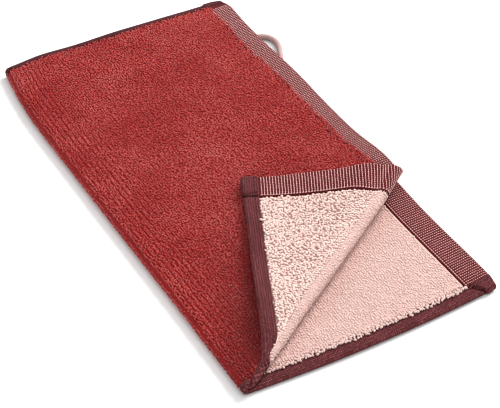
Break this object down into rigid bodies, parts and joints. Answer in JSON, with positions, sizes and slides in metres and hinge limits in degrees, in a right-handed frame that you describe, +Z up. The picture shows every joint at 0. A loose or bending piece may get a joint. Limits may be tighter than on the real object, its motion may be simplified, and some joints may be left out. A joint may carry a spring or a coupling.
{
  "type": "golf towel",
  "caption": "Square double-faced terry golf towel folded in half, with a corner turned back, flat-woven end hems, plain side hems and a cord hanging loop.",
  "frame": {"origin": "centre of the folded towel's footprint, without its hanging loop, on the surface that it lies on", "axes": "+Z up; +X from the fold towards the open end hems; +Y along the fold, from the turned-back corner's end towards the far end"},
  "size_m": [0.1643, 0.3, 0.0118],
  "materials": {
    "terry_red": "cotton loop pile, deep brick red",
    "terry_pale": "cotton loop pile, pale pink",
    "hem_dotted": "flat-woven maroon cotton with rows of short pink floats",
    "hem_plain": "flat maroon cotton, fine lengthwise ribs",
    "thread_pale": "pink cotton sewing thread",
    "thread_dark": "maroon sewing thread",
    "cord": "pale pink twisted cotton cord"
  },
  "bodies": {
    "lower_half": {"terry_lower": "terry_pale", "end_hem_lower": "hem_dotted", "side_hem_near_lower": "hem_plain", "side_hem_far_lower": "hem_plain", "stitching_end_lower": "thread_pale", "stitching_near_lower": "thread_dark", "stitching_far_lower": "thread_dark", "loop_bar_tack": "thread_dark", "fold_terry": "terry_red", "fold_side_hem_near": "hem_plain", "fold_side_hem_far": "hem_plain"},
    "upper_half": {"terry_upper": "terry_red", "end_hem_upper": "hem_dotted", "side_hem_near_upper": "hem_plain", "side_hem_far_upper": "hem_plain", "stitching_end_upper": "thread_pale", "stitching_far_upper": "thread_dark", "crease_terry": "terry_red", "crease_end_hem": "hem_dotted", "crease_side_hem": "hem_plain"},
    "corner_flap": {"terry_flap": "terry_pale", "end_hem_flap": "hem_dotted", "side_hem_flap": "hem_plain", "stitching_end_flap": "thread_pale", "stitching_side_flap": "thread_dark"},
    "hanging_loop": {"hanging_loop_cord": "cord"}
  },
  "joints": [
    {"name": "half_fold", "type": "hinge", "parent": "lower_half", "child": "upper_half", "pos_m": [-0.0734, 0, 0.0032], "axis": [0, -1, 0], "range_deg": [0, 170], "deforming": ["fold_terry", "fold_side_hem_near", "fold_side_hem_far"]},
    {"name": "corner_fold", "type": "hinge", "parent": "upper_half", "child": "corner_flap", "pos_m": [-0.0719, -0.15, 0.0076], "axis": [0.8562, 0.516, 0.024], "range_deg": [0, 165], "deforming": ["crease_terry", "crease_end_hem", "crease_side_hem"]},
    {"name": "loop_swing", "type": "hinge", "parent": "lower_half", "child": "hanging_loop", "pos_m": [0.07935, 0.0935, 0.00175], "axis": [0, -1, 0], "range_deg": [0, 90]}
  ]
}
